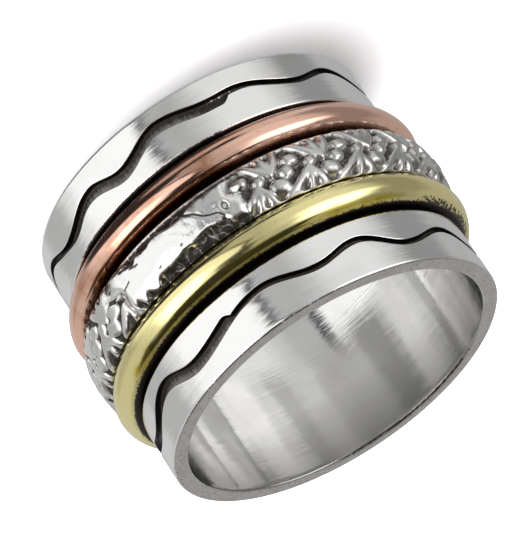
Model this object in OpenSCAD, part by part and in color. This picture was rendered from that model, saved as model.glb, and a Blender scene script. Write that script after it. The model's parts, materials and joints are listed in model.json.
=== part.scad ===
// Spinner ring: a silver band with two raised collars, and three loose rings that turn in the
// channel between them. Millimetres. The ring lies on its side: +Z is the ring's own axis and the
// origin is the centre of the finger hole in the lower rim face.

/* [Band] */
// Inside diameter of the finger hole, a middle ring size
inside_d = 18; // [14:0.5:23]
// Wall of the sleeve that the spinners turn on
sleeve_t = 0.5; // [0.4:0.05:0.9]
// How far each collar stands out past the sleeve
collar_step = 0.45; // [0.3:0.05:0.7]
// Width of each collar, measured along the finger
collar_w = 3.45; // [2.8:0.05:5]
// Chamfer at both ends of the finger hole
bore_chamfer = 0.09; // [0.05:0.01:0.2]
// Rounding of the collars' outer edges
edge_r = 0.12; // [0.06:0.01:0.2]

/* [Spinners] */
// Radial running clearance between the sleeve and each spinner
run_gap = 0.08; // [0.03:0.01:0.1]
// Side gap between each collar and the spinner next to it
collar_gap = 0.2; // [0.1:0.02:0.4]
// Side gap between the copper and the patterned spinner
copper_gap = 0.33; // [0.1:0.01:0.5]
// Side gap between the patterned and the brass spinner
brass_gap = 0.12; // [0.1:0.02:0.5]
// Width of the copper half-round wire
copper_w = 2; // [1.4:0.1:3]
// Height of the copper half-round wire
copper_h = 1.2; // [0.9:0.05:1.6]
// Width of the brass half-round wire
brass_w = 2.1; // [1.4:0.1:3]
// Height of the brass half-round wire
brass_h = 1.28; // [0.9:0.05:1.6]
// Width of the patterned strip
pattern_w = 2.8; // [2:0.1:4]
// Height of the patterned strip, from its bore to its highest beads
pattern_h = 1.42; // [1.1:0.02:1.8]
// Depth of the relief below the tops of the beads
relief_d = 0.42; // [0.3:0.02:0.55]
// How much lower than the beads the plates between them stand
plate_drop = 0.1; // [0.04:0.02:0.2]
// Radius of each bead
bead_r = 0.38; // [0.3:0.02:0.44]
// Width of the moat round each bead
moat_w = 0.07; // [0.04:0.01:0.12]
// Number of zigzag repeats round the patterned strip
repeats = 22; // [16:1:28]
// Length of the worn smooth stretch of the patterned strip, in degrees
worn_arc = 46; // [0:2:90]

/* [Wavy grooves] */
// Depth of the grooves in the collars
groove_d = 0.42; // [0.2:0.02:0.55]
// Width of the grooves along their wide stretch
groove_wide = 0.76; // [0.5:0.02:0.9]
// Width of the grooves along their narrow stretch
groove_slim = 0.38; // [0.2:0.02:0.5]

/* [Hidden] */

// Radii, from the finger hole outwards
bore_r = inside_d / 2;
sleeve_r = bore_r + sleeve_t;
collar_r = sleeve_r + collar_step;
spinner_r = sleeve_r + run_gap;
cut_over = 0.5;

// Heights along the finger, from the lower rim face upwards
copper_z = collar_w + collar_gap;
pattern_z = copper_z + copper_w + copper_gap;
brass_z = pattern_z + pattern_w + brass_gap;
channel_top = brass_z + brass_w + collar_gap;
band_w = channel_top + collar_w;

// Rounded and domed outlines
round_steps = 6;
dome_steps = 24;
round_fn = 180;

// The edge of each groove on its rim side, as turning points: [angle, share of the collar's width]
UPPER_WAVE = [
    [-39, 0.56], [-57, 0.315], [-86, 0.62], [-104, 0.435], [-119, 0.575], [-135, 0.32],
    [-154, 0.54], [-173, 0.32], [-193, 0.55], [-213, 0.36], [-234, 0.6], [-254, 0.33],
    [-275, 0.57], [-296, 0.4], [-316, 0.6], [-337, 0.34], [-358, 0.56], [-379, 0.35]
];
LOWER_WAVE = [
    [-18, 0.29], [-38, 0.555], [-57, 0.335], [-70, 0.505], [-87, 0.25], [-104, 0.37],
    [-114, 0.335], [-134, 0.49], [-151, 0.3], [-171, 0.48], [-190, 0.28], [-208, 0.52],
    [-227, 0.3], [-246, 0.47], [-265, 0.26], [-284, 0.5], [-303, 0.32], [-322, 0.54],
    [-341, 0.3], [-360, 0.5]
];
// Where each groove is wide: [first angle, last angle], counted downwards from the first
UPPER_WIDE = [-1, -74.5];
LOWER_WIDE = [-41, -111];
groove_stations = 180;
step_deg = 2;

// Relief of the patterned strip. Places along it are shares of one repeat, counted clockwise, and
// places across it are shares of its half width, from -1 at its lower edge to 1 at its upper edge.
half_w = pattern_w / 2;
pattern_r = spinner_r + pattern_h;
plate_r = pattern_r - plate_drop;
floor_r = pattern_r - relief_d;
repeat_deg = 360 / repeats;
// Where the first repeat starts, and the middle of the worn stretch, in degrees
pattern_turn = -123;
worn_mid = -75;
bead_fn = 32;

// Beads of the zigzag: [along, across]
BEADS = [[0, 0.5], [0.2, 0.09], [0.4, -0.37], [0.7, 0.02]];
// Notches that split the plates between the beads into fans:
// [apex along, apex across, 1 if it opens upwards or -1, angle from straight, half angle, start]
NOTCHES = [
    [0, -0.02, -1, -15, 4, 0.55], [0, -0.02, -1, 15, 4, 0.55],
    [0.46, 0.02, 1, -22, 6.5, 0.4], [0.46, 0.02, 1, 0, 3, 0.5], [0.46, 0.02, 1, 22, 6.5, 0.4]
];

function mix(a, b, t) = a + (b - a) * t;
function ease(t) = t <= 0 ? 0 : t >= 1 ? 1 : (1 - cos(180 * t)) / 2;
function turned(a, top) = a > top ? turned(a - 360, top) : a <= top - 360 ? turned(a + 360, top) : a;

// Share of the collar's width at an angle: a smooth curve through the turning points
function wave_between(wave, a, i) =
    let (p = wave[i], q = i + 1 < len(wave) ? wave[i + 1] : wave[0] - [360, 0])
    a >= q[0] ? mix(p[1], q[1], ease((p[0] - a) / (p[0] - q[0]))) : wave_between(wave, a, i + 1);
function wave_share(wave, a) = wave_between(wave, turned(a, wave[0][0]), 0);

// Width of a groove at an angle, with a short step at each end of its wide stretch
function groove_width(wide, a) =
    let (b = turned(a, wide[0] + 180), into = ease((wide[0] - b) / step_deg + 0.5),
         out = ease((wide[1] - b) / step_deg + 0.5))
    mix(groove_slim, groove_wide, into - out);

// The angles at which a bead or a notch stands, without those that are worn away
function stands(along) = [for (i = [0:repeats - 1])
    let (a = turned(pattern_turn - (i + along) * repeat_deg, worn_mid + 180))
    if (abs(a - worn_mid) > worn_arc / 2) a];

module band_profile() {
    polygon(concat(
        [[bore_r - cut_over, 0]], collar_outline(0),
        [[sleeve_r, collar_w], [sleeve_r, channel_top]], collar_outline(channel_top),
        [[bore_r - cut_over, band_w]]
    ));
}
// The outside of a collar from its lower to its upper face, with both edges rounded
function collar_outline(z) = concat(
    [for (i = [0:round_steps]) rounded(z + edge_r, -90 + i * 90 / round_steps)],
    [for (i = [0:round_steps]) rounded(z + collar_w - edge_r, i * 90 / round_steps)]
);
function rounded(z, a) = [collar_r - edge_r + edge_r * cos(a), z + edge_r * sin(a)];

// The finger hole with its chamfered ends
module finger_hole() {
    translate([0, 0, -cut_over]) cylinder(r = bore_r, h = band_w + 2 * cut_over, $fn = round_fn);
    mouth();
    translate([0, 0, band_w]) mirror([0, 0, 1]) mouth();
}
module mouth() {
    over = bore_chamfer / 2;
    translate([0, 0, -over])
        cylinder(r1 = bore_r + bore_chamfer + over, r2 = bore_r, h = bore_chamfer + over, $fn = round_fn);
}

// A groove round a collar, swept as a closed loop of four-cornered stations
module wavy_groove(wave, wide, rim_z, inward) {
    groove_r = collar_r - groove_d;
    points = [for (i = [0:groove_stations - 1])
        let (a = -i * 360 / groove_stations, near = rim_z + inward * collar_w * wave_share(wave, a),
             far = near + inward * groove_width(wide, a), low = min(near, far), high = max(near, far))
        for (z = [low, high], r = z == low ? [groove_r, collar_r + cut_over] : [collar_r + cut_over, groove_r])
            [r * cos(a), r * sin(a), z]];
    faces = [for (i = [0:groove_stations - 1], k = [0:3])
        let (j = (i + 1) % groove_stations, m = (k + 1) % 4)
        each [[4 * i + k, 4 * j + k, 4 * j + m], [4 * i + k, 4 * j + m, 4 * i + m]]];
    polyhedron(points, faces);
}

module band() {
    color("silver") difference() {
        rotate_extrude($fn = round_fn) band_profile();
        finger_hole();
        wavy_groove(UPPER_WAVE, UPPER_WIDE, band_w, -1);
        wavy_groove(LOWER_WAVE, LOWER_WIDE, 0, 1);
    }
}

// A loose ring of half-round wire, flat inside and domed outside
module half_round_ring(w, h, z) {
    translate([0, 0, z]) rotate_extrude($fn = round_fn)
        polygon([for (i = [0:dome_steps])
            [spinner_r + h * sin(i * 180 / dome_steps), w / 2 - w / 2 * cos(i * 180 / dome_steps)]]);
}
module copper_spinner() {
    color("peru") half_round_ring(copper_w, copper_h, copper_z);
}
module brass_spinner() {
    color("darkkhaki") half_round_ring(brass_w, brass_h, brass_z);
}

// Puts children on the floor of the relief, wherever their place in the repeat stands. There +Z
// points out from the ring, and -X up across the strip.
module on_strip(at) {
    for (a = stands(at[0]))
        rotate([0, 0, a]) translate([floor_r, 0, pattern_z + half_w * (1 + at[1])])
            rotate([0, 90, 0]) children();
}
module moat() {
    cylinder(r = bead_r + moat_w, h = relief_d + cut_over, $fn = bead_fn);
}
module bead() {
    translate([0, 0, relief_d - bead_r]) sphere(r = bead_r, $fn = bead_fn);
}
// A wedge that starts at its share of the way to the strip's edge and gets wider past it
module notch(n) {
    to_edge = half_w * (1 - n[1] * n[2]);
    corners = [[to_edge * n[5], 0], [to_edge + cut_over, -n[4]], [to_edge + cut_over, n[4]]];
    linear_extrude(relief_d + cut_over)
        polygon([for (p = corners) [-n[2] * p[0] * cos(n[3] + p[1]), p[0] * sin(n[3] + p[1])]]);
}

// The patterned strip: a plain ring cut into plates, with a bead in each moat
module patterned_spinner() {
    color("gainsboro") difference() {
        union() {
            difference() {
                translate([0, 0, pattern_z]) cylinder(r = plate_r, h = pattern_w, $fn = round_fn);
                for (b = BEADS) on_strip(b) moat();
                for (n = NOTCHES) on_strip(n) notch(n);
            }
            for (b = BEADS) on_strip(b) bead();
        }
        translate([0, 0, pattern_z - cut_over])
            cylinder(r = spinner_r, h = pattern_w + 2 * cut_over, $fn = round_fn);
    }
}

band();
copper_spinner();
patterned_spinner();
brass_spinner();
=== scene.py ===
# Looks of a spinner ring: a silver band, and copper, patterned silver and brass rings that turn on it.
# The ring lies on its side. +Z is its axis, and the camera stands on the -Y side.
import json

import bpy
import numpy as np
from mathutils import Matrix, Vector, noise


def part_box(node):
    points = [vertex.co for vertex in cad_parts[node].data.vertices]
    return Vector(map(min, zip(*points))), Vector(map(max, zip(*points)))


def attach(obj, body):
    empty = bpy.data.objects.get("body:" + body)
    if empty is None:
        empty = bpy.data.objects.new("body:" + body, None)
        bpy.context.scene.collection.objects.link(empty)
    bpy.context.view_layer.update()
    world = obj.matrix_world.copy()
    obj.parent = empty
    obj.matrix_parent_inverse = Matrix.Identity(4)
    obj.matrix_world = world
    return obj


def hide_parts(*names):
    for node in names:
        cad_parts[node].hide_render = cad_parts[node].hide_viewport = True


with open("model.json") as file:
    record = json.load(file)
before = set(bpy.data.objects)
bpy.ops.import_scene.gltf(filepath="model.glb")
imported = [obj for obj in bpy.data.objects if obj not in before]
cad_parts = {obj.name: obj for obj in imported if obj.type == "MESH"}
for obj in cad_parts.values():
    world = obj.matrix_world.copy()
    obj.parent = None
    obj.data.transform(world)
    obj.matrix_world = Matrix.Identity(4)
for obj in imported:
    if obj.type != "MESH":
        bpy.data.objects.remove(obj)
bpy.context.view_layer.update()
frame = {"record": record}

MM = 0.001


def node_span(node):
    """Lower height, upper height and outer radius of a CAD node, in millimetres."""
    low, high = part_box(node)
    return low.z / MM, high.z / MM, max(high.x, high.y, -low.x, -low.y) / MM


# Sizes that the frame gives
BAND_LOW, BAND_TOP, COLLAR_R = node_span("band")
COPPER_LOW, COPPER_TOP, COPPER_R = node_span("copper_spinner")
PATTERN_LOW, PATTERN_TOP, PATTERN_R = node_span("patterned_spinner")
BRASS_LOW, BRASS_TOP, BRASS_R = node_span("brass_spinner")
BORE_R = next(m["dims"]["r_mm"] for m in frame["record"]["mounts"] if m["name"] == "finger_bore")

# Sizes of the band, in millimetres
SLEEVE_T = 0.5
RUN_GAP = 0.08
COLLAR_GAP = 0.2
EDGE_R = 0.12
BORE_ROUND = 0.1
GROOVE_D = 0.42
GROOVE_WIDE = 0.76
GROOVE_SLIM = 0.38
GROOVE_LIP = 0.035
GROOVE_FILLET = 0.15
SLEEVE_R = BORE_R + SLEEVE_T
SPINNER_R = SLEEVE_R + RUN_GAP
LOWER_COLLAR = (BAND_LOW, COPPER_LOW - COLLAR_GAP)
UPPER_COLLAR = (BRASS_TOP + COLLAR_GAP, BAND_TOP)
COLLAR_W = UPPER_COLLAR[1] - UPPER_COLLAR[0]


def ease(t):
    """A smooth step from 0 to 1."""
    return (1 - np.cos(np.pi * np.clip(t, 0, 1))) / 2


def between(degrees, first, last, soft):
    """1 between two angles, counted downwards, with soft ends."""
    return ease((first - degrees) / soft) * ease((degrees - last) / soft)


def fading(value, start, width):
    """1 up to a start, and 0 from a width past it, with a smooth step between."""
    return 1 - ease((value - start) / width)


def mix(a, b, t):
    """A blend of two values, all a at 0 and all b at 1."""
    return a + (b - a) * t


def arc(middle_r, middle_z, radius, start, end, steps):
    """Points on an arc in the plane of radius and height, angles in degrees."""
    angles = np.radians(np.linspace(start, end, steps + 1))
    return [(middle_r + radius * np.cos(a), middle_z + radius * np.sin(a)) for a in angles]


def places(radius, turn, height):
    """Points from radii, angles in radians and heights."""
    return np.stack([radius * np.cos(turn), radius * np.sin(turn), height], -1)


# How far apart in the noise two seeds lie
SEED_STEP = 7.3


def ripple(points, size, seed):
    """Smooth noise from -1 to 1 at each point, with features of about the given size in millimetres."""
    flat = points.reshape(-1, 3) / size + seed * SEED_STEP
    values = [noise.noise(p) for p in flat.tolist()]
    return np.array(values).reshape(points.shape[:-1])


def uneven(points, depth, size, seed, side=0):
    """Smooth unevenness of a depth: both ways at side 0, only upwards at 1, and only downwards at -1."""
    return depth * (ripple(points, size, seed) + side)


def ring_mesh(name, radius, height, turn, **attributes):
    """A closed mesh from radii and heights in millimetres, as [row of the profile, station round]."""
    points = places(radius, turn, height) * MM
    index = np.arange(radius.size).reshape(radius.shape)
    across = np.roll(index, -1, 0)
    quads = np.stack([index, np.roll(index, -1, 1), np.roll(across, -1, 1), across], -1)
    mesh = bpy.data.meshes.new(name)
    mesh.from_pydata(points.reshape(-1, 3).tolist(), [], quads.reshape(-1, 4).tolist())
    mesh.polygons.foreach_set("use_smooth", [True] * len(mesh.polygons))
    for key, values in attributes.items():
        values = np.broadcast_to(values, radius.shape).astype(np.float32)
        layer = mesh.attributes.new(key, "FLOAT", "POINT")
        layer.data.foreach_set("value", values.ravel())
    mesh.update()
    piece = bpy.data.objects.new(name, mesh)
    bpy.context.scene.collection.objects.link(piece)
    return piece


def dress(piece, body, node, material):
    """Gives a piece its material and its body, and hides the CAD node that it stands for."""
    piece.data.materials.append(material)
    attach(piece, body)
    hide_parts(node)


# Node helpers. A value is a number, a colour or another node's socket
def connect(tree, value, socket):
    if isinstance(value, bpy.types.NodeSocket):
        tree.links.new(value, socket)
    else:
        socket.default_value = value


def add_node(tree, kind, inputs=(), **settings):
    node = tree.nodes.new("ShaderNode" + kind)
    for key, value in settings.items():
        setattr(node, key, value)
    for key, value in dict(inputs).items():
        connect(tree, value, node.inputs[key])
    return node


def calc(tree, operation, *values):
    return add_node(tree, "Math", dict(enumerate(values)), operation=operation).outputs[0]


def plus(tree, a, b):
    return calc(tree, "ADD", a, b)


def minus(tree, a, b):
    return calc(tree, "SUBTRACT", a, b)


def times(tree, a, b):
    return calc(tree, "MULTIPLY", a, b)


def larger(tree, a, b):
    return calc(tree, "MAXIMUM", a, b)


def centred(tree, value, size):
    """Noise from 0 to 1, made to swing about 0 over the given size."""
    return times(tree, minus(tree, value, 0.5), size)


def ramp(tree, value, start, end, low=0.0, high=1.0):
    """A smooth step from low to high while the value goes from start to end."""
    inputs = {"Value": value, "From Min": start, "From Max": end, "To Min": low, "To Max": high}
    return add_node(tree, "MapRange", inputs, interpolation_type="SMOOTHSTEP").outputs["Result"]


def blend(tree, factor, a, b):
    """Mixes two colours."""
    node = add_node(tree, "Mix", data_type="RGBA")
    for value, socket in ((factor, node.inputs[0]), (a, node.inputs[6]), (b, node.inputs[7])):
        connect(tree, value, socket)
    return node.outputs[2]


def grain(tree, scale, detail=3.0, stretch=(1, 1, 1), rough=0.55):
    """Noise in the ring's own space. Scale counts features a millimetre, and stretch draws them out."""
    place = add_node(tree, "TexCoord").outputs["Object"]
    sizes = [scale / MM / s for s in stretch]
    moved = add_node(tree, "Mapping", {"Vector": place, "Scale": sizes}).outputs[0]
    inputs = {"Vector": moved, "Scale": 1.0, "Detail": detail, "Roughness": rough}
    return add_node(tree, "TexNoise", inputs).outputs["Fac"]


def attribute(tree, name):
    return add_node(tree, "Attribute", attribute_name=name).outputs["Fac"]


def bump(tree, height, distance, normal=None):
    """The normal over a height map whose full height is the given distance in millimetres."""
    inputs = {"Height": height, "Distance": distance * MM, "Strength": 1.0}
    if normal is not None:
        inputs["Normal"] = normal
    return add_node(tree, "Bump", inputs).outputs[0]


def vector(tree, operation, inputs):
    return add_node(tree, "VectorMath", inputs, operation=operation).outputs[0]


def brushed_normal(tree, lines, tilt):
    """The surface's own normal, leaning to and fro round the ring from one brushed line to the next."""
    normal = add_node(tree, "NewGeometry").outputs["Normal"]
    along = vector(tree, "CROSS_PRODUCT", {0: (0, 0, 1), 1: normal})
    step = vector(tree, "SCALE", {0: along, "Scale": centred(tree, lines, tilt)})
    moved = vector(tree, "ADD", {0: normal, 1: step})
    return vector(tree, "NORMALIZE", {0: moved})


def new_metal(name):
    """A metal material with an empty shader, and its tree."""
    material = bpy.data.materials.new(name)
    material.use_nodes = True
    tree = material.node_tree
    tree.nodes.clear()
    shader = add_node(tree, "BsdfPrincipled", {"Metallic": 1.0})
    output = add_node(tree, "OutputMaterial", {"Surface": shader.outputs[0]})
    output.is_active_output = True
    return material, tree, shader


# Colours of the metals
SILVER = (0.93, 0.925, 0.915, 1)
SILVER_DULL = (0.78, 0.765, 0.74, 1)
CAST_SILVER = (0.62, 0.612, 0.595, 1)
WORN_SILVER = (0.91, 0.905, 0.895, 1)
RIM_SILVER = (0.70, 0.66, 0.62, 1)
MOUTH_SILVER = (0.38, 0.375, 0.365, 1)
# The next colour is the oxide of the grooves and recesses, and also the painted shade on the collar
# edges and on the strip's falling flanks
OXIDE_AND_SHADE = (0.05, 0.043, 0.038, 1)
BRUSHED_OXIDE = (0.30, 0.29, 0.28, 1)
SHADED_OXIDE = (0.29, 0.275, 0.26, 1)
COPPER = (0.95, 0.60, 0.465, 1)
# The warm and dark colours of the copper and the brass are painted shade on the wires' flanks
COPPER_WARM = (0.64, 0.29, 0.16, 1)
COPPER_DARK = (0.36, 0.14, 0.07, 1)
COPPER_SPOT = (0.62, 0.25, 0.16, 1)
BRASS = (0.93, 0.83, 0.405, 1)
BRASS_WARM = (0.74, 0.59, 0.12, 1)
BRASS_DARK = (0.34, 0.26, 0.06, 1)
BRASS_SPOT = (0.55, 0.44, 0.16, 1)
TARNISH = (0.10, 0.08, 0.07, 1)
# The next colour is painted shade: the black on the brass's edge beside its gap
GAP_SHADE = (0.018, 0.012, 0.01, 1)

# Depths of bumps, in millimetres
LINE_DEPTH = 0.004
PIT_DEPTH = 0.03
RIDGE_DEPTH = 0.05
CAST_DEPTH = 0.01
# How far the brushed lines lean
BAND_LEAN = 0.15
BORE_LEAN = 0.09
WIRE_LEAN = 0.12
# Roughness of what isn't polished, and the share of the band's roughness that the bore lacks
OXIDE_ROUGH = 0.4
RIM_ROUGH = 0.3
SPECK_ROUGH = 0.45
DULL_ROUGH = 0.36
RECESS_ROUGH = 0.62
BORE_POLISH = 0.6
# The bore isn't all metallic, so that no part of it mirrors itself to black
BORE_METALLIC = 0.95
# How strong the tarnish of a wire is where it is dull and speckled, and its painted shade where it is
# black
DULL = 0.3
SPECKLED = 1
BLACK = 1.8
# Oxide of the grooves over 1 is brushed grey, and this is all grey
GREY_OXIDE = 2.2


def band_material():
    """Polished silver brushed round the ring, with blackened grooves, collar edges darkened by tarnish
    and painted shade, and a duller rim face.
    """
    material, tree, shader = new_metal("silver_band")
    oxide = attribute(tree, "oxide")
    rim = attribute(tree, "rim")
    bore = attribute(tree, "bore")
    lines = grain(tree, 8, detail=5, stretch=(26, 26, 1), rough=0.65)
    patches = grain(tree, 0.35)
    scratches = ramp(tree, grain(tree, 14, stretch=(60, 60, 1.5)), 0.66, 0.75)
    pits = ramp(tree, grain(tree, 6), 0.6, 0.7)

    clean = blend(tree, ramp(tree, patches, 0.42, 0.75, 0, 0.55), SILVER, SILVER_DULL)
    clean = blend(tree, times(tree, scratches, 0.3), clean, SILVER_DULL)
    face = blend(tree, ramp(tree, grain(tree, 1.6, detail=4), 0.35, 0.7), RIM_SILVER, SILVER_DULL)
    clean = blend(tree, rim, clean, face)
    clean = blend(tree, attribute(tree, "mouth"), clean, MOUTH_SILVER)
    stain_and_shade = plus(tree, oxide, centred(tree, grain(tree, 5, detail=4), 0.9))
    rim_pits = times(tree, pits, rim)
    blackened = larger(tree, ramp(tree, stain_and_shade, 0.35, 0.7), times(tree, rim_pits, 0.75))
    strokes = centred(tree, grain(tree, 7, detail=4, stretch=(1, 1, 3)), 1.1)
    grey = ramp(tree, plus(tree, oxide, strokes), 1, GREY_OXIDE)
    black = blend(tree, grey, OXIDE_AND_SHADE, BRUSHED_OXIDE)
    connect(tree, blend(tree, blackened, clean, black), shader.inputs["Base Color"])
    connect(tree, ramp(tree, bore, 0, 1, 1, BORE_METALLIC), shader.inputs["Metallic"])

    rough = plus(tree, ramp(tree, lines, 0.25, 0.8, 0.05, 0.15), ramp(tree, patches, 0.4, 0.7, 0, 0.04))
    rough = times(tree, rough, minus(tree, 1, times(tree, bore, BORE_POLISH)))
    rough = larger(tree, rough, times(tree, blackened, OXIDE_ROUGH))
    rough = larger(tree, rough, times(tree, rim, RIM_ROUGH))
    connect(tree, rough, shader.inputs["Roughness"])

    lean = ramp(tree, bore, 0, 1, BAND_LEAN, BORE_LEAN)
    brushed = bump(tree, lines, LINE_DEPTH, brushed_normal(tree, lines, lean))
    pitted = bump(tree, rim_pits, -PIT_DEPTH, brushed)
    ridges = times(tree, grain(tree, 9, stretch=(1, 1, 6)), oxide)
    connect(tree, bump(tree, ridges, RIDGE_DEPTH, pitted), shader.inputs["Normal"])
    return material


def patterned_material():
    """Polished silver where it is worn, duller where it is cast, blackened in the recesses, and darkened
    on its falling flanks as painted shade.
    """
    material, tree, shader = new_metal("silver_patterned")
    worn = attribute(tree, "worn")
    metal = blend(tree, worn, CAST_SILVER, WORN_SILVER)
    cloud = centred(tree, grain(tree, 5, detail=5, rough=0.7), 0.9)
    stain_and_shade = plus(tree, attribute(tree, "oxide"), cloud)
    shade = blend(tree, ramp(tree, stain_and_shade, 0.12, 0.65), metal, SHADED_OXIDE)
    connect(tree, blend(tree, ramp(tree, stain_and_shade, 0.75, 1.2), shade, OXIDE_AND_SHADE), shader.inputs["Base Color"])
    rough = ramp(tree, grain(tree, 3), 0.3, 0.8, 0.21, 0.33)
    rough = minus(tree, rough, times(tree, worn, 0.12))
    rough = larger(tree, rough, ramp(tree, stain_and_shade, 0.3, 1.2, 0.0, RECESS_ROUGH))
    connect(tree, rough, shader.inputs["Roughness"])
    connect(tree, bump(tree, grain(tree, 7, detail=4), CAST_DEPTH), shader.inputs["Normal"])
    return material


def wire_material(name, colour, spot, warm, dark):
    """Polished half-round wire, warmer and darker towards its flanks, partly as wear and partly as
    painted shade, with fine lines round the ring, with dull and speckled tarnish, and with a black edge
    that is painted shade."""
    material, tree, shader = new_metal(name)
    tarnish = attribute(tree, "tarnish")
    lines = grain(tree, 7, detail=5, stretch=(30, 30, 1), rough=0.65)
    patches = grain(tree, 0.8, detail=4)
    spots = ramp(tree, grain(tree, 5, stretch=(2.5, 2.5, 1)), 0.64, 0.74, 0, 0.6)
    # Speckles are tarnish, and the black edge that joins them is painted shade beside the gap
    specks_and_shade = plus(tree, grain(tree, 6, detail=4), times(tree, tarnish, 0.3))
    speckled = ramp(tree, specks_and_shade, 0.68, 0.78)

    # Painted shade, partly also wear: the flank value warms and darkens the wire's colour
    stain_and_shade = plus(tree, attribute(tree, "flank"), centred(tree, patches, 0.5))
    clean = blend(tree, spots, colour, spot)
    warmed = blend(tree, ramp(tree, stain_and_shade, 0.55, 0.8), clean, warm)
    flanked = blend(tree, ramp(tree, stain_and_shade, 0.76, 0.95), warmed, dark)
    # Painted shade: the black edge beside the gap
    black = blend(tree, ramp(tree, tarnish, SPECKLED, BLACK), TARNISH, GAP_SHADE)
    connect(tree, blend(tree, speckled, flanked, black), shader.inputs["Base Color"])

    rough = plus(tree, ramp(tree, lines, 0.25, 0.8, 0.06, 0.16), ramp(tree, patches, 0.45, 0.7, 0, 0.08))
    rough = larger(tree, rough, times(tree, speckled, SPECK_ROUGH))
    rough = larger(tree, rough, ramp(tree, tarnish, 0, DULL, 0, DULL_ROUGH))
    connect(tree, rough, shader.inputs["Roughness"])
    brushed = bump(tree, lines, LINE_DEPTH, brushed_normal(tree, lines, WIRE_LEAN))
    connect(tree, brushed, shader.inputs["Normal"])
    return material


# The band
# The edge of each groove on its rim side, as turning points: angle, share of the collar's width
UPPER_WAVE = [
    (-39, 0.56), (-57, 0.315), (-86, 0.62), (-104, 0.435), (-119, 0.575), (-135, 0.32),
    (-154, 0.54), (-173, 0.32), (-193, 0.55), (-213, 0.36), (-234, 0.6), (-254, 0.33),
    (-275, 0.57), (-296, 0.4), (-316, 0.6), (-337, 0.34), (-358, 0.56), (-379, 0.35),
]
LOWER_WAVE = [
    (-18, 0.29), (-38, 0.555), (-57, 0.335), (-70, 0.505), (-87, 0.25), (-104, 0.37),
    (-114, 0.335), (-134, 0.49), (-151, 0.3), (-171, 0.48), (-190, 0.28), (-208, 0.52),
    (-227, 0.3), (-246, 0.47), (-265, 0.26), (-284, 0.5), (-303, 0.32), (-322, 0.54),
    (-341, 0.3), (-360, 0.5),
]
# Where each groove is wide, as first and last angle, and the degrees over which it widens and closes
UPPER_WIDE = (-1, -74.5)
LOWER_WIDE = (-41, -111)
WIDENING = 14
ROUND_END = 3.4
# How uneven the width of a groove is, in millimetres, and over what length
GROOVE_UNEVEN = 0.05
GROOVE_UNEVEN_SIZE = 1.6

BAND_STATIONS = 864
ROUND_STEPS = 4
LIP_STEPS = 3
# Where the rows of flat and straight stretches stand, as shares of the stretch
FLAT_SHARES = (0.04, 0.2, 0.5, 0.8, 0.96)
FACE_SHARES = (0.05, 0.5, 0.95)
CHANNEL_SHARES = (0.01, 0.5, 0.99)
BORE_SHARES = np.linspace(0.02, 0.98, 9)
# How far out from the sleeve the row at the foot of each collar's wall stands, in millimetres
CHANNEL_FOOT = 0.03
# The last degrees of the lower groove's wide stretch, where its oxide is rubbed thinner: their number,
# their soft start, how far they go past the end, and how much thinner the oxide is
THIN_STRETCH = 14
THIN_SOFT = 8
THIN_PAST = 2
THINNED = 0.3
# The tarnished stretch of the upper rim's inner edge: its angles, its strength, its soft ends, and how
# deep and wide it is in millimetres
RIM_TARNISH = (-205, -300)
RIM_TARNISH_STRENGTH = 0.62
RIM_TARNISH_SOFT = 25
RIM_TARNISH_DEPTH = 0.09
RIM_TARNISH_WIDTH = 0.16
# The edges of the collars beside the copper and the brass, darkened by tarnish and by painted shade
# that widens the dark line of each gap: their angles, their soft ends, and how many edge radii they
# reach
LOWER_EDGE_TARNISH_AND_SHADE = (-28, -114)
UPPER_EDGE_TARNISH_AND_SHADE = (-48, -194)
COLLAR_EDGE_DARK_SOFT = 24
COLLAR_EDGE_DARK_REACH = 1.6
# How far from the rim faces, from the bore and from the sleeve a place still belongs to them, and how
# far down from the upper mouth the bore is duller, in millimetres
RIM_FACE = 0.02
BORE_FACE = 0.05
COLLAR_FOOT = 0.1
MOUTH_DEPTH = 4.5
# Hand-made unevenness as (depth in millimetres, size in millimetres, seed). In the bore it is drawn
# out along the finger, and fades out towards both ends
OUTSIDE_UNEVEN = (0.008, 3.0, 1)
BORE_DENTS = (0.03, 1.7, 2)
BORE_DENTS_ALONG = (1, 1, 0.06)
BORE_LINES = (0.005, 0.6, 11)
BORE_LINES_ALONG = (1, 1, 0.1)
BORE_END = 0.6


def wave_share(wave, degrees):
    """Share of the collar's width at each angle: a smooth curve through the turning points."""
    top = wave[0][0]
    turned = top - (top - degrees) % 360
    ends = wave + [(top - 360, wave[0][1])]
    share = np.empty_like(degrees)
    for (a, here), (b, there) in zip(ends, ends[1:]):
        inside = (turned <= a) & (turned >= b)
        share[inside] = mix(here, there, ease((a - turned[inside]) / (a - b)))
    return share


def groove_width(wide, degrees, seed):
    """Width of a hand-cut groove at each angle. It widens slowly, and its wide stretch ends round."""
    first, last = wide
    turned = first + 180 - (first + 180 - degrees) % 360
    into = ease((first - turned) / WIDENING + 0.5)
    left = np.clip((turned - last) / ROUND_END, 0, 1)
    width = mix(GROOVE_SLIM, GROOVE_WIDE, into * np.sqrt(ease(left)))
    place = places(COLLAR_R, np.radians(degrees), 0 * degrees)
    return width + uneven(place, GROOVE_UNEVEN, GROOVE_UNEVEN_SIZE, seed)


def with_oxide(points, oxide):
    return [(r, z, oxide) for r, z in points]


def upright(radius, start, end, shares, oxide=0):
    """Rows of one radius between two heights."""
    return [(radius, mix(start, end, s), oxide) for s in shares]


def rim_face(height, start, end):
    """Rows of one height between two radii."""
    return [(mix(start, end, s), height, 0) for s in FACE_SHARES]


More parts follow.
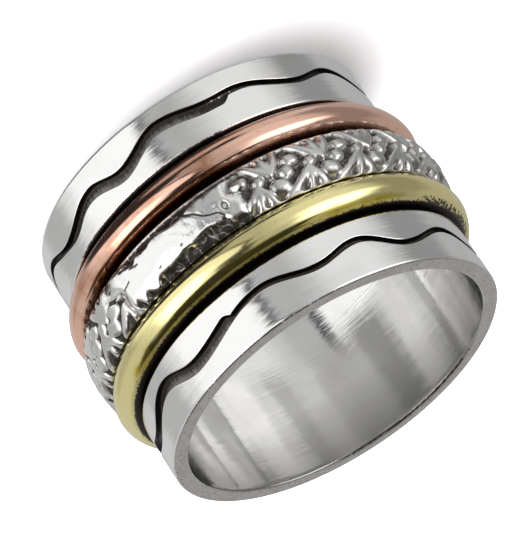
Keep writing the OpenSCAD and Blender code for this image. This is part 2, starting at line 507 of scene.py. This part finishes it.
def collar_rows(collar, low, high):
    """Rows (radius, height, oxide) up the outside of a collar with a groove between two curves."""
    bottom, top = collar
    inner = COLLAR_R - EDGE_R
    lip_r = COLLAR_R - GROOVE_LIP
    floor_r = COLLAR_R - GROOVE_D
    fillet_r = floor_r + GROOVE_FILLET
    # The brushed grey grows across the floor where the groove is wide
    grey = np.clip((high - low - GROOVE_SLIM) / (GROOVE_WIDE - GROOVE_SLIM), 0, 1)
    rows = with_oxide(arc(inner, bottom + EDGE_R, EDGE_R, -90, 0, ROUND_STEPS), 0)
    rows += upright(COLLAR_R, bottom + EDGE_R, low - GROOVE_LIP, FLAT_SHARES)
    rows += with_oxide(arc(lip_r, low - GROOVE_LIP, GROOVE_LIP, 0, 90, LIP_STEPS), 0)
    rows += [(lip_r - GROOVE_LIP, low, 1)]
    rows += with_oxide(arc(fillet_r, low + GROOVE_FILLET, GROOVE_FILLET, 270, 180, ROUND_STEPS), 1)
    rows += [(floor_r, mix(low, high, 0.5), 1 + 0.5 * grey)]
    top_fillet = arc(fillet_r, high - GROOVE_FILLET, GROOVE_FILLET, 180, 90, ROUND_STEPS)
    rows += with_oxide(top_fillet, 1 + grey)
    rows += [(lip_r - GROOVE_LIP, high, 1 + grey)]
    rows += with_oxide(arc(lip_r, high + GROOVE_LIP, GROOVE_LIP, -90, 0, LIP_STEPS), 0)
    rows += upright(COLLAR_R, high + GROOVE_LIP, top - EDGE_R, FLAT_SHARES)
    rows += with_oxide(arc(inner, top - EDGE_R, EDGE_R, 0, 90, ROUND_STEPS), 0)
    return rows


def channel_rows():
    """Rows up the blackened channel between the collars."""
    low = LOWER_COLLAR[1]
    high = UPPER_COLLAR[0]
    foot = SLEEVE_R + CHANNEL_FOOT
    floor_rows = upright(SLEEVE_R, low, high, (0, *CHANNEL_SHARES, 1), oxide=1)
    return [(foot, low, 1), *floor_rows, (foot, high, 1)]


def bore_rows():
    """Rows across the upper rim face, down the bore and back across the lower rim face."""
    outer = COLLAR_R - EDGE_R
    inner = BORE_R + BORE_ROUND
    high = BAND_TOP - BORE_ROUND
    low = BAND_LOW + BORE_ROUND
    rows = rim_face(BAND_TOP, outer, inner)
    rows += with_oxide(arc(inner, high, BORE_ROUND, 90, 180, ROUND_STEPS), 0)
    rows += upright(BORE_R, high, low, BORE_SHARES)
    rows += with_oxide(arc(inner, low, BORE_ROUND, 180, 270, ROUND_STEPS), 0)
    return rows + rim_face(BAND_LOW, inner, outer)


def band_oxide(oxide, radius, height, degrees):
    """The oxide of the grooves, thinner along one stretch, with the tarnished edge of the upper rim, and
    the collar edges darkened by tarnish and painted shade.
    """
    end = LOWER_WIDE[1]
    thin = ease((end + THIN_STRETCH - degrees) / THIN_SOFT) * (degrees > end - THIN_PAST)
    oxide = oxide * (1 - THINNED * thin * (height < LOWER_COLLAR[1]))
    inner_edge = (height > BAND_TOP - RIM_TARNISH_DEPTH) * (radius < BORE_R + RIM_TARNISH_WIDTH)
    stretch = between(degrees, *RIM_TARNISH, RIM_TARNISH_SOFT)
    oxide = np.maximum(oxide, RIM_TARNISH_STRENGTH * inner_edge * stretch)
    # Tarnish with painted shade: the collar edges beside the copper and the brass darken along given
    # stretches, widening the dark line of each gap
    for edge, angles in ((LOWER_COLLAR[1], LOWER_EDGE_TARNISH_AND_SHADE), (UPPER_COLLAR[0], UPPER_EDGE_TARNISH_AND_SHADE)):
        collar_edge = np.clip(COLLAR_EDGE_DARK_REACH - abs(height - edge) / EDGE_R, 0, 1)
        oxide = np.maximum(oxide, collar_edge * between(degrees, *angles, COLLAR_EDGE_DARK_SOFT))
    return oxide


def band():
    """The soldered band, as a closed outline that goes up outside and comes down the bore."""
    degrees = -np.arange(BAND_STATIONS) * 360 / BAND_STATIONS
    low = BAND_LOW + COLLAR_W * wave_share(LOWER_WAVE, degrees)
    lower = collar_rows(LOWER_COLLAR, low, low + groove_width(LOWER_WIDE, degrees, seed=21))
    high = BAND_TOP - COLLAR_W * wave_share(UPPER_WAVE, degrees)
    upper = collar_rows(UPPER_COLLAR, high - groove_width(UPPER_WIDE, degrees, seed=22), high)
    rows = lower + channel_rows() + upper + bore_rows()
    radius, height, oxide = (
        np.array([np.broadcast_to(value, BAND_STATIONS) for value in column], float)
        for column in zip(*rows)
    )
    oxide = band_oxide(oxide, radius, height, degrees)
    from_face = np.minimum(BAND_TOP - height, height - BAND_LOW)
    rim = (from_face < RIM_FACE) * 1.0
    bore = (radius < BORE_R + BORE_FACE) * 1.0
    mouth = bore * ease((height - BAND_TOP) / MOUTH_DEPTH + 1)
    turn = np.broadcast_to(np.radians(degrees), radius.shape)
    place = places(radius, turn, height)
    # All unevenness goes into the metal, so that the band keeps its clearances
    outside = ease((radius - SLEEVE_R) / COLLAR_FOOT)
    inside = ease((BORE_R + BORE_FACE - radius) / BORE_FACE) * ease(from_face / BORE_END)
    radius = radius + outside * uneven(place, *OUTSIDE_UNEVEN, side=-1)
    radius = radius + inside * uneven(place * BORE_DENTS_ALONG, *BORE_DENTS, side=1)
    radius = radius + inside * uneven(place * BORE_LINES_ALONG, *BORE_LINES, side=1)
    looks = {"oxide": oxide, "rim": rim, "bore": bore, "mouth": mouth}
    piece = ring_mesh("band_polished", radius, height, turn, **looks)
    dress(piece, "band", "band", band_material())


# The half-round wires. Places across a wire are shares of its half width, from -1 to 1
WIRE_STATIONS = 540
WIRE_STEPS = 40
WIRE_BORE_SHARES = np.linspace(0.98, 0.02, 5)
# How uneven a wire is, in millimetres, over what length, and how far from its bore this starts
WIRE_UNEVEN = 0.012
WIRE_UNEVEN_SIZE = 4.0
WIRE_FOOT = 0.3
# How dark the flanks are where they are plain, how much darker along their dark stretches, the most
# that a lower flank gets, and how warm a warm crest is. The plain darkening is partly wear and partly
# painted shade, and the dark stretches and the warm crest are painted shade of dark reflections
UPPER_FLANK = 0.6
UPPER_DARK = 0.46
LOWER_FLANK = 0.5
LOWER_DARK = 1.4
DARKEST = 1.15
WARMTH = 0.63
# The soft ends of these stretches in degrees, and where across the wire the speckles start
FLANK_SOFT = 14
WARM_SOFT = 16
SPECKLED_SOFT = 12
SPECKLED_FROM = 0.55
SPECKLED_RISE = 0.3
# A dull strip lies beside the black edge, and is less dark than the rest of its flank: it keeps less
# of the flank's painted shade
DULL_WIDTH = 0.08
DULL_CLEARED = 0.2
# What stands for a look that a wire doesn't have: no stretch, and an edge past the wire's own
NOWHERE = (0, 0)
NO_EDGE = 2


def half_round(name, low, top, outer, seed, crest=0.0, dark_above=NOWHERE, dark_below=NOWHERE,
               speckled=NOWHERE, warm=NOWHERE, black_past=NO_EDGE):
    """A half-round wire ring: a dome outside and a flat bore. Crest is how far its crest lies above its
    middle. Its flanks are darker all round, partly as wear and partly as painted shade. Its upper and
    lower flanks are darker between two angles each, and its crest is warmer between another two, all
    as painted shade of dark reflections. Its upper edge is speckled with tarnish between two more, and
    is painted black all round past a share of its half width, as painted shade beside its gap."""
    middle = (low + top) / 2
    half = (top - low) / 2
    swing = np.radians(np.linspace(-90, 90, WIRE_STEPS + 1))
    radius = SPINNER_R + (outer - SPINNER_R) * np.cos(swing)
    height = middle + half * np.sin(swing) + crest * np.cos(swing) ** 2
    radius = np.r_[radius, np.full(len(WIRE_BORE_SHARES), SPINNER_R)]
    height = np.r_[height, mix(low, top, WIRE_BORE_SHARES)]
    turn = -np.arange(WIRE_STATIONS) * 2 * np.pi / WIRE_STATIONS
    radius, turn = np.meshgrid(radius, turn, indexing="ij")
    height = np.repeat(height[:, None], WIRE_STATIONS, 1)
    outside = ease((radius - SPINNER_R) / WIRE_FOOT)
    place = places(radius, turn, height)
    radius = radius + outside * uneven(place, WIRE_UNEVEN, WIRE_UNEVEN_SIZE, seed, side=-1)

    up = (height - middle) / half
    degrees = np.degrees(turn)
    specked = between(degrees, *speckled, SPECKLED_SOFT) * ease((up - SPECKLED_FROM) / SPECKLED_RISE)
    dull = ease((up - black_past + DULL_WIDTH) / (DULL_WIDTH / 2))
    # Painted shade: past black_past the edge is painted black, as the gap's shade
    black = ease((up - black_past) / DULL_WIDTH)
    tarnish = np.max([SPECKLED * specked, DULL * dull, BLACK * black], 0)
    # Painted shade, partly also wear: the flanks darken all round, more along the dark stretches, and
    # the crest warms along the warm stretch
    above = up * (UPPER_FLANK + UPPER_DARK * between(degrees, *dark_above, FLANK_SOFT))
    above = above * (1 - DULL_CLEARED * dull)
    below = -up * (LOWER_FLANK + LOWER_DARK * between(degrees, *dark_below, FLANK_SOFT))
    flank = np.where(up > 0, above, np.minimum(DARKEST, below))
    flank = np.maximum(flank, WARMTH * between(degrees, *warm, WARM_SOFT))
    return ring_mesh(name, radius, height, turn, flank=flank, tarnish=tarnish)


def copper_wire():
    # The dark stretches and the warm crest are painted shade of dark reflections
    piece = half_round(
        "copper_wire", COPPER_LOW, COPPER_TOP, COPPER_R, seed=3, crest=0.27,
        dark_above=(-34, -104), dark_below=(-34, -150), warm=(-8, -108),
    )
    metal = wire_material("copper", COPPER, COPPER_SPOT, COPPER_WARM, COPPER_DARK)
    dress(piece, "copper_ring", "copper_spinner", metal)


def brass_wire():
    # The dark stretch is painted shade of dark reflections, and the black edge is painted shade beside
    # the gap
    piece = half_round(
        "brass_wire", BRASS_LOW, BRASS_TOP, BRASS_R, seed=4,
        dark_above=(-26, -150), speckled=(-144, -198), black_past=0.84,
    )
    metal = wire_material("brass", BRASS, BRASS_SPOT, BRASS_WARM, BRASS_DARK)
    dress(piece, "brass_ring", "brass_spinner", metal)


# The patterned strip. Places on its face are millimetres clockwise from a repeat's first bead and
# millimetres up from the middle of the face
REPEATS = 22
PATTERN_TURN = -123.3
RELIEF_D = 0.42
# The face lies a little higher up than the solid's, out over the brass, and drops towards its edges
FACE_LOW = PATTERN_LOW + 0.14
FACE_TOP = PATTERN_TOP + 0.3
FACE_EDGE_DROP = 0.3
FACE_MIDDLE = (FACE_LOW + FACE_TOP) / 2
FACE_HALF = (FACE_TOP - FACE_LOW) / 2
REPEAT_MM = 2 * np.pi * PATTERN_R / REPEATS
MM_PER_DEGREE = np.radians(PATTERN_R)
COLUMNS = 56
FACE_ROWS = 58
# The rows a little higher up and a little lower down than each row
ROW_REACH = 3
UPWARD = np.minimum(np.arange(FACE_ROWS) + ROW_REACH, FACE_ROWS - 1)
DOWNWARD = np.maximum(np.arange(FACE_ROWS) - ROW_REACH, 0)
# The strip's sides, from the face inwards: shares of the way out, and of the way up to the face's edge
SIDE_ROWS = [(0.55, 0.6), (0.3, 0.15), (0.12, 0.0)]
STRIP_BORE_SHARES = (0, 0.02, 0.98, 1)
# Beads, shaped like cushions: along, up, half length, half height, lean in degrees
BEADS = [
    (0, 0.74, 0.63, 0.48, 22), (0.7, 0.12, 0.52, 0.42, -18),
    (1.24, -0.5, 0.56, 0.39, 6), (2.2, 0.0, 0.42, 0.34, -10),
]
# Leaves of the two fans, each as (along, up, half width) at its root, its middle and its tip
LEAVES = [
    [(2.02, 0.28, 0.25), (1.35, 0.8, 0.31), (0.2, 1.5, 0.23)],
    [(2.02, 0.28, 0.25), (1.86, 0.95, 0.28), (1.5, 1.75, 0.15)],
    [(2.02, 0.28, 0.25), (2.36, 0.95, 0.35), (2.62, 1.75, 0.26)],
    [(-0.15, -0.02, 0.2), (-0.7, -0.65, 0.35), (-1.6, -1.55, 0.21)],
    [(-0.15, -0.02, 0.2), (-0.24, -0.8, 0.36), (-0.46, -1.75, 0.14)],
    [(-0.15, -0.02, 0.2), (0.34, -0.7, 0.37), (0.72, -1.75, 0.22)],
]
# How square the beads are, and how high the leaves and the strip's edges stand
CUSHION = 2.6
LEAF_TOP = 0.84
RIM_SHARE = 0.58
# All unevenness of the strip is (depth, size in millimetres, seed). This is how far the cast pattern
# wanders along and up, in millimetres
WANDER_ALONG = (0.09, 1.3, 8)
WANDER_UP = (0.07, 1.1, 9)
# The rubbed stretch: its angles, its soft and ragged ends in degrees, how much of its relief is rubbed,
# and the least height of what is left, how far it rises above that and how steeply
RUBBED = (-2, -60)
RUBBED_SOFT = 8
RUBBED_RAGGED = (3, 2.0, 5)
RUBBED_MOST = 0.9
RUBBED_LEAST = 0.55
RUBBED_RISE = 0.38
RUBBED_STEEP = 1.6
# Rubbed forms are a little wider at the bottom, and narrower above this height in millimetres
RUBBED_WIDER = 0.06
RUBBED_NARROWER = 0.24
NARROWER_FROM = 0.3
NARROWER_OVER = 0.9
# The worn stretch: its angles, and the upper and lower edges of its plateau as (angle, millimetres up
# from the middle)
WORN = (-49, -97)
WORN_TOP = [
    (-48, 1.61), (-52, 1.61), (-53.6, 1.41), (-54.6, 0.97), (-55.2, 0.97), (-55.8, 1.46), (-57.4, 1.61),
    (-58.2, 1.26), (-58.9, 1.11), (-59.8, 1.26), (-61.4, 1.41), (-63.4, 1.56), (-64.2, 1.17),
    (-65.2, 1.08), (-70, 1.11), (-73, 1.04), (-76, 0.91), (-78.6, 1.03), (-81, 0.85), (-84, 0.83),
    (-87, 0.93), (-88.6, 0.81), (-89.3, 0.71), (-90, 0.97), (-91, 1.17), (-94, 1.11), (-96, 1.31),
    (-98, 1.41),
]
WORN_LOW = [
    (-48, -1.5), (-56, -1.35), (-58, -1.0), (-59.5, -0.76), (-60.8, -0.84), (-61.8, -1.2),
    (-63.5, -0.98), (-66, -0.94), (-68, -1.12), (-70, -1.24), (-72, -1.1), (-74, -0.9), (-78, -0.86),
    (-80, -1.0), (-82, -1.2), (-98, -1.3),
]
# How ragged the plateau's edges and the stretch's ends are, how far the ends lean, and the lengths in
# millimetres over which the plateau rises from them and the stretch begins
EDGE_RAGGED = (0.05, 0.5, 6)
WORN_RAGGED = (0.9, 1.1, 7)
WORN_LEAN = 0.25
PLATEAU_RISE = 0.1
PLATEAU_END = 0.8
WORN_SOFT = 0.6
# Height of the plateau and its unevenness, as shares of the relief
PLATEAU_HEIGHT = 0.95
PLATEAU_SWELL = (0.1, 0.9, 7)
PLATEAU_GRAIN = (0.04, 0.35, 10)
# Creases on the plateau. The first parts its bright side from its grey side, which is lower
CREASES = [
    [(-79.5, -0.8), (-82.6, -0.42), (-84.6, 0.0), (-86, 0.15), (-88.4, 0.3), (-89.6, 0.62)],
    [(-50.6, 0.5), (-52.4, 0.28)], [(-53.2, 0.0), (-56, -0.14)], [(-58.4, -0.6), (-61.4, -0.44)],
    [(-54.6, -1.0), (-58.6, -0.78)], [(-66.5, 0.66), (-67.1, 0.64)], [(-75.2, 0.56), (-75.7, 0.5)],
]
CREASE_SIDE = [(up, angle) for angle, up in CREASES[0][::-1]]
CREASE_HALF = 0.09
CREASE_D = 0.1
GREY_SIDE_D = 0.08
# The eyelet: its angle and height, its half length and half height in millimetres, the width of its
# line as a share of these, and its depth
EYELET = (-91, 0.18)
EYELET_HALF = (0.14, 0.22)
EYELET_LINE = 0.5
EYELET_D = 0.3
# The recess beside the plateau: the share of the cast relief that it keeps, its unevenness, and the
# strokes of the tool with their width and height
RECESS_KEPT = 0.3
RECESS_GRAIN = (0.1, 0.28, 12)
STROKES = (1, 0.5, 13)
STROKE_WIDTH = 0.11
STROKE_HEIGHT = 0.14
# The strip's edges: where they start as a share of its half width, over what share, and how even
EDGE_FROM = 0.9
EDGE_SOFT = 0.06
EDGE_EVEN = 0.75
# How often the face is evened out, and how often for the height round about, which hollows lie below
EVENED = 3
ROUND_ABOUT = 12
# Tarnish by low height, by nearness to a crease and between rubbed forms: strength, the value from
# which it fades, and over what value
LOW_TARNISH = (1.05, 0.06, 0.56)
CREASE_TARNISH = (1.2, 0.02, 0.06)
SCORED_TARNISH = (1.1, 0.0, 0.5)
# Tarnish in the recess: its strength, how much less on forms, strokes and the lower edge, and the
# distance inside the plateau from which it fades, and over what distance
RECESS_TARNISH = 1.5
FORMS_CLEARER = 0.45
STROKES_CLEARER = 0.8
LOWER_EDGE_CLEARER = 0.7
RECESS_EDGE = (0.09, 0.08)
# Tarnish in hollows, and painted shade on flanks that fall away from the middle: strength and most,
# and the height from the middle where the flanks start and over what height, in millimetres
HOLLOW_TARNISH = (5, 0.9)
FALL_SHADE = (1.8, 1)
FALL_FROM = 0.5
FALL_SOFT = 0.5
# How polished the rubbed stretch is, where the worn one is 1
RUBBED_WEAR = 0.7


def capsule_reach(x, y, points):
    """How far out a place lies in a leaf, from 0 on its spine to 1 on its outline."""
    reach = np.full_like(x, np.inf)
    for (ax, ay, a_half), (bx, by, b_half) in zip(points, points[1:]):
        run = np.array([bx - ax, by - ay])
        t = np.clip(((x - ax) * run[0] + (y - ay) * run[1]) / (run @ run), 0, 1)
        away = np.hypot(x - ax - t * run[0], y - ay - t * run[1])
        reach = np.minimum(reach, away / mix(a_half, b_half, t))
    return reach


def dome(reach):
    """Height of a domed form, from 1 at its middle to 0 at its outline."""
    return np.sqrt(np.maximum(0, 1 - reach ** 3))


def relief(x, y, spread):
    """Height of the cast relief, from 0 in the recesses to 1 on the beads. Spread widens its forms."""
    h = np.zeros_like(x)
    for shift in (-REPEAT_MM, 0, REPEAT_MM):
        for leaf in LEAVES:
            h = np.maximum(h, LEAF_TOP * dome(capsule_reach(x + shift, y, leaf) / spread))
        for along, up, long, tall, lean in BEADS:
            c, s = np.cos(np.radians(lean)), np.sin(np.radians(lean))
            dx, dy = x + shift - along, y - up
            out = abs(dx * c + dy * s) / long, abs(dy * c - dx * s) / tall
            reach = (out[0] ** CUSHION + out[1] ** CUSHION) ** (1 / CUSHION)
            h = np.maximum(h, dome(reach / spread))
    return h


def smoothed(h, passes):
    """Evens out a height field, round the ring and across it."""
    for step in range(passes):
        h = (np.roll(h, 1, 1) + 2 * h + np.roll(h, -1, 1)) / 4
        h = (h[np.r_[0, :len(h) - 1]] + 2 * h + h[np.r_[1:len(h), -1]]) / 4
    return h


def along_table(table, degrees, blur=0.5):
    """Value of a table at each angle, with its corners rounded."""
    angles, values = zip(*table[::-1])
    return np.mean([np.interp(degrees + shift, angles, values) for shift in (-blur, 0, blur)], 0)


def crease_distance(degrees, y, points):
    """Distance in millimetres from a line drawn by angle and height."""
    line = [(angle * MM_PER_DEGREE, up, 1) for angle, up in points]
    return capsule_reach(degrees * MM_PER_DEGREE, y, line)


def tarnish_by(value, strength, start, width):
    """Tarnish that fades as a value grows."""
    return strength * fading(value, start, width)


def cast_pattern(degrees, y, place):
    """The cast relief, how far it is rubbed, and the height that this leaves."""
    along = (PATTERN_TURN - degrees) * MM_PER_DEGREE + uneven(place, *WANDER_ALONG)
    along = (along + REPEAT_MM / 2) % REPEAT_MM - REPEAT_MM / 2
    up = y + uneven(place, *WANDER_UP)
    first, last = RUBBED
    off = abs(degrees - (first + last) / 2) + uneven(place, *RUBBED_RAGGED)
    rubbed = ease(((first - last) / 2 - off) / RUBBED_SOFT + 0.5)
    narrower = RUBBED_NARROWER * ease((y - NARROWER_FROM) / NARROWER_OVER)
    cast = relief(along, up, 1 + rubbed * (RUBBED_WIDER - narrower))
    flattened = RUBBED_LEAST + RUBBED_RISE * ease(RUBBED_STEEP * cast)
    return cast, rubbed, mix(cast, flattened, RUBBED_MOST * rubbed)


def plateau_height(degrees, y, place, crease, ring):
    """Height of the smooth plateau with its creases, its grey side and its eyelet."""
    height = PLATEAU_HEIGHT + uneven(place, *PLATEAU_SWELL) + uneven(place, *PLATEAU_GRAIN)
    height = height - CREASE_D * fading(crease, 0, CREASE_HALF)
    height = height - GREY_SIDE_D * (degrees < along_table(CREASE_SIDE, y, blur=0))
    return height - EYELET_D * ring


def pattern_face(degrees, y, place):
    """Height of the strip's face as a share of the relief, its tarnish with painted shade on its falling
    flanks, and its wear.
    """
    cast, rubbed, h = cast_pattern(degrees, y, place)
    inside = np.minimum(along_table(WORN_TOP, degrees) - y, y - along_table(WORN_LOW, degrees))
    inside = inside + uneven(place, *EDGE_RAGGED)
    ends = np.minimum(WORN[0] - degrees, degrees - WORN[1]) * MM_PER_DEGREE
    ends = ends + uneven(place, *WORN_RAGGED) - WORN_LEAN * y
    plateau = ease(np.minimum(inside / PLATEAU_RISE, ends / PLATEAU_END))
    worn = ease(ends / WORN_SOFT + 0.5)
    crease = np.min([crease_distance(degrees, y, line) for line in CREASES], 0)
    eyelet_along = (degrees - EYELET[0]) * MM_PER_DEGREE / EYELET_HALF[0]
    eyelet_up = (y - EYELET[1]) / EYELET_HALF[1]
    ring = fading(abs(np.hypot(eyelet_along, eyelet_up) - 1), 0, EYELET_LINE)
    strokes = fading(abs(uneven(place, *STROKES)), 0, STROKE_WIDTH)
    rim = ease((abs(y) / FACE_HALF - EDGE_FROM) / EDGE_SOFT)

    rough = RECESS_KEPT * h + uneven(place, *RECESS_GRAIN) + STROKE_HEIGHT * strokes
    smooth = plateau_height(degrees, y, place, crease, ring)
    share = mix(h, mix(rough, smooth, plateau), worn)
    share = mix(np.maximum(share, RIM_SHARE * rim), RIM_SHARE, EDGE_EVEN * rim ** 2)
    share = smoothed(share, EVENED)

    low = tarnish_by(share, *LOW_TARNISH)
    lines = np.maximum(tarnish_by(crease, *CREASE_TARNISH), ring) * worn * plateau
    scored = tarnish_by(cast, *SCORED_TARNISH) * rubbed * (1 - worn)
    recess = (RECESS_TARNISH - FORMS_CLEARER * h - STROKES_CLEARER * strokes) * worn
    recess = recess * fading(inside, *RECESS_EDGE) * (1 - LOWER_EDGE_CLEARER * rim * (y < 0))
    strength, most = HOLLOW_TARNISH
    hollow = np.clip(strength * (smoothed(share, ROUND_ABOUT) - share), 0, most)
    # Painted shade: flanks that fall away towards the strip's edges darken
    strength, most = FALL_SHADE
    fall = share - np.where(y > 0, share[UPWARD], share[DOWNWARD])
    falls = np.clip(strength * fall * ease((abs(y) - FALL_FROM) / FALL_SOFT), 0, most)
    oxide = np.max([low, lines, scored, recess, hollow, falls], 0)
    return share, oxide, np.maximum(RUBBED_WEAR * rubbed, worn)


def patterned_strip():
    """The strip: its face, then its upper side, its bore and its lower side."""
    columns = REPEATS * COLUMNS
    across = np.linspace(-1, 1, FACE_ROWS)
    round_ring = -np.arange(columns) * 2 * np.pi / columns
    across, turn = np.meshgrid(across, round_ring, indexing="ij")
    height = FACE_MIDDLE + FACE_HALF * across
    place = places(PATTERN_R, turn, height)
    share, oxide, wear = pattern_face(np.degrees(turn), FACE_HALF * across, place)
    crown = FACE_EDGE_DROP * abs(across) ** 3
    face = np.minimum(PATTERN_R, PATTERN_R - crown - RELIEF_D * (1 - share))
    # The side towards the brass leans out over it, and the other side leans in
    above = [mix(SPINNER_R, face[-1], out) for out, up in SIDE_ROWS]
    below = [mix(SPINNER_R, face[0], out) for out, up in SIDE_ROWS[::-1]]
    bore = [np.full(columns, SPINNER_R)] * len(STRIP_BORE_SHARES)
    radius = np.concatenate([face, above, bore, below])
    levels = [mix(PATTERN_TOP, FACE_TOP, up) for out, up in SIDE_ROWS]
    levels += [mix(PATTERN_TOP, PATTERN_LOW, s) for s in STRIP_BORE_SHARES]
    levels += [mix(PATTERN_LOW, FACE_LOW, up) for out, up in SIDE_ROWS[::-1]]
    height = np.concatenate([height, np.repeat(np.array(levels)[:, None], columns, 1)])
    oxide = np.concatenate([oxide, np.ones((len(levels), columns))])
    wear = np.concatenate([wear, np.zeros((len(levels), columns))])
    turn = np.broadcast_to(round_ring, radius.shape)
    piece = ring_mesh("patterned_strip", radius, height, turn, oxide=oxide, worn=wear)
    dress(piece, "patterned_ring", "patterned_spinner", patterned_material())


# The camera: its place in millimetres, and its angles in degrees
SENSOR_MM = 36
LENS_MM = 264.46
CAMERA_PLACE = (0.0, -191.29, 101.61)
LOOK_DOWN = 26.43
LOOK_TURN = -0.052
CAMERA_ROLL = 146.48
CLIP_START = 0.01


def camera():
    data = bpy.data.cameras.new("camera")
    data.lens = LENS_MM
    data.sensor_width = SENSOR_MM
    data.clip_start = CLIP_START
    piece = bpy.data.objects.new("camera", data)
    turn = Matrix.Rotation(np.radians(LOOK_TURN), 4, "Z")
    tilt = Matrix.Rotation(np.radians(90 - LOOK_DOWN), 4, "X")
    roll = Matrix.Rotation(np.radians(CAMERA_ROLL), 4, "Z")
    piece.matrix_world = Matrix.Translation(Vector(CAMERA_PLACE) * MM) @ turn @ tilt @ roll
    bpy.context.scene.collection.objects.link(piece)
    bpy.context.scene.camera = piece


# The plain floor, in metres. It lies a hair below the ring, so that the two don't flicker
FLOOR_RADIUS = 1.5
FLOOR_SIDES = 96
FLOOR_DROP = 0.00001
FLOOR_COLOUR = (0.86, 0.86, 0.86, 1)
FLOOR_ROUGH = 0.9


def floor():
    mesh = bpy.data.meshes.new("floor")
    angles = np.linspace(0, 2 * np.pi, FLOOR_SIDES, endpoint=False)
    outline = [(FLOOR_RADIUS * np.cos(a), FLOOR_RADIUS * np.sin(a), -FLOOR_DROP) for a in angles]
    mesh.from_pydata(outline, [], [list(range(FLOOR_SIDES))])
    piece = bpy.data.objects.new("floor", mesh)
    material = bpy.data.materials.new("floor")
    material.use_nodes = True
    shader = material.node_tree.nodes["Principled BSDF"]
    shader.inputs["Base Color"].default_value = FLOOR_COLOUR
    shader.inputs["Roughness"].default_value = FLOOR_ROUGH
    shader.inputs["Specular IOR Level"].default_value = 0
    mesh.materials.append(material)
    piece.visible_glossy = False
    bpy.context.scene.collection.objects.link(piece)


# The soft light above, in metres and watts. It lights the floor, and the metals don't mirror it
LIGHT_PLACE = (0.12, 0.1, 0.45)
LIGHT_SIZE = 0.5
LIGHT_POWER = 6


def light():
    data = bpy.data.lights.new("top_light", "AREA")
    data.shape = "DISK"
    data.size = LIGHT_SIZE
    data.energy = LIGHT_POWER
    piece = bpy.data.objects.new("top_light", data)
    piece.location = LIGHT_PLACE
    piece.rotation_euler = (-Vector(LIGHT_PLACE)).to_track_quat("-Z", "Y").to_euler()
    piece.visible_glossy = False
    piece.visible_camera = False
    bpy.context.scene.collection.objects.link(piece)


# What stands round the ring. Angles are in degrees, azimuths from the camera's side and rightwards.
# Later rows cover earlier ones. Bow is how far a row's sides bend away at 45 degrees above or below
# the level of the boxes' middles:
# name, from azimuth, to azimuth, from elevation, to elevation, edge width, bow, brightness
STUDIO = [
    ("right_wall", 60, 135, -58, 40, 12, 0, 0.58),
    ("right_window", 60, 135, -8, 38, 16, 0, 0.74),
    ("back_right", 128, 165, -45, 28, 10, 0, 0.75),
    ("back_left", -135, -84, -60, 50, 16, 0, 0.36),
    ("far_left", -195, -118, -60, 30, 16, 0, 0.55),
    ("left_wall", -74, -22, -60, 30, 30, 0, 1.0),
    ("left_box", -79, -36, 4, 49, 18, 0, 2.8),
    ("above_right", 8, 122, 35, 80, 6, 0, 0.05),
    ("right_fade", 30, 77, -58, 42, 16, 22, 1.05),
    ("right_box", 2, 64, -58, 46, 4, 22, 1.3),
    ("right_core", 26, 64, -12, 40, 12, 20, 2.8),
    ("gap", -3, 2, -60, 30, 1.5, 22, 0.01),
    ("gap_top", -6, 20, 26, 90, 8, 6, 0.06),
    ("ceiling", -64, 125, 57, 120, 6, 0, 0.05),
    ("top", -400, 400, 72, 120, 8, 0, 0.06),
    ("back_dark", 133, 222, 38, 66, 6, 0, 0.015),
    ("under_middle", -55, 20, -74, -60, 4, 0, 0.05),
    ("under_right", 12, 160, -74, -48, 5, 0, 0.05),
    ("under_left", -200, -58, -120, -52, 5, 0, 0.8),
]
SURROUND = 0.58
BOX_LEVEL = 8
BOW_AT = 45
# What the camera sees past the floor
BACKGROUND = 1.0


def cover(tree, level, share, brightness):
    """Lays a share of another brightness over the one so far."""
    left = times(tree, level, minus(tree, 1, share))
    return plus(tree, left, times(tree, share, brightness))


def studio():
    """The studio round the ring: soft boxes, walls and a dark ceiling, drawn by direction."""
    world = bpy.data.worlds.new("studio")
    bpy.context.scene.world = world
    world.use_nodes = True
    tree = world.node_tree
    tree.nodes.clear()
    direction = add_node(tree, "TexCoord").outputs["Generated"]
    parts = add_node(tree, "SeparateXYZ", {"Vector": direction}).outputs
    azimuth = calc(tree, "ARCTAN2", parts["X"], times(tree, parts["Y"], -1))
    azimuth = calc(tree, "DEGREES", azimuth)
    elevation = calc(tree, "DEGREES", calc(tree, "ARCSINE", parts["Z"]))
    from_level = calc(tree, "ABSOLUTE", minus(tree, elevation, BOX_LEVEL))
    bend = calc(tree, "POWER", from_level, 2)
    level = SURROUND
    for name, left, right, low, high, edge, bow, brightness in STUDIO:
        middle = plus(tree, times(tree, bend, bow / BOW_AT ** 2), (left + right) / 2)
        away = calc(tree, "WRAP", minus(tree, azimuth, middle), 180, -180)
        half = (right - left) / 2
        across = ramp(tree, calc(tree, "ABSOLUTE", away), half + edge / 2, half - edge / 2)
        above = ramp(tree, elevation, low - edge / 2, low + edge / 2)
        below = ramp(tree, elevation, high + edge / 2, high - edge / 2)
        window = times(tree, across, times(tree, above, below))
        level = cover(tree, level, window, brightness)
    seen = add_node(tree, "LightPath").outputs["Is Camera Ray"]
    level = cover(tree, level, seen, BACKGROUND)
    background = add_node(tree, "Background", {"Strength": level})
    add_node(tree, "OutputWorld", {"Surface": background.outputs[0]})


band()
copper_wire()
brass_wire()
patterned_strip()
camera()
floor()
light()
studio()
bpy.context.scene.view_settings.view_transform = "Standard"
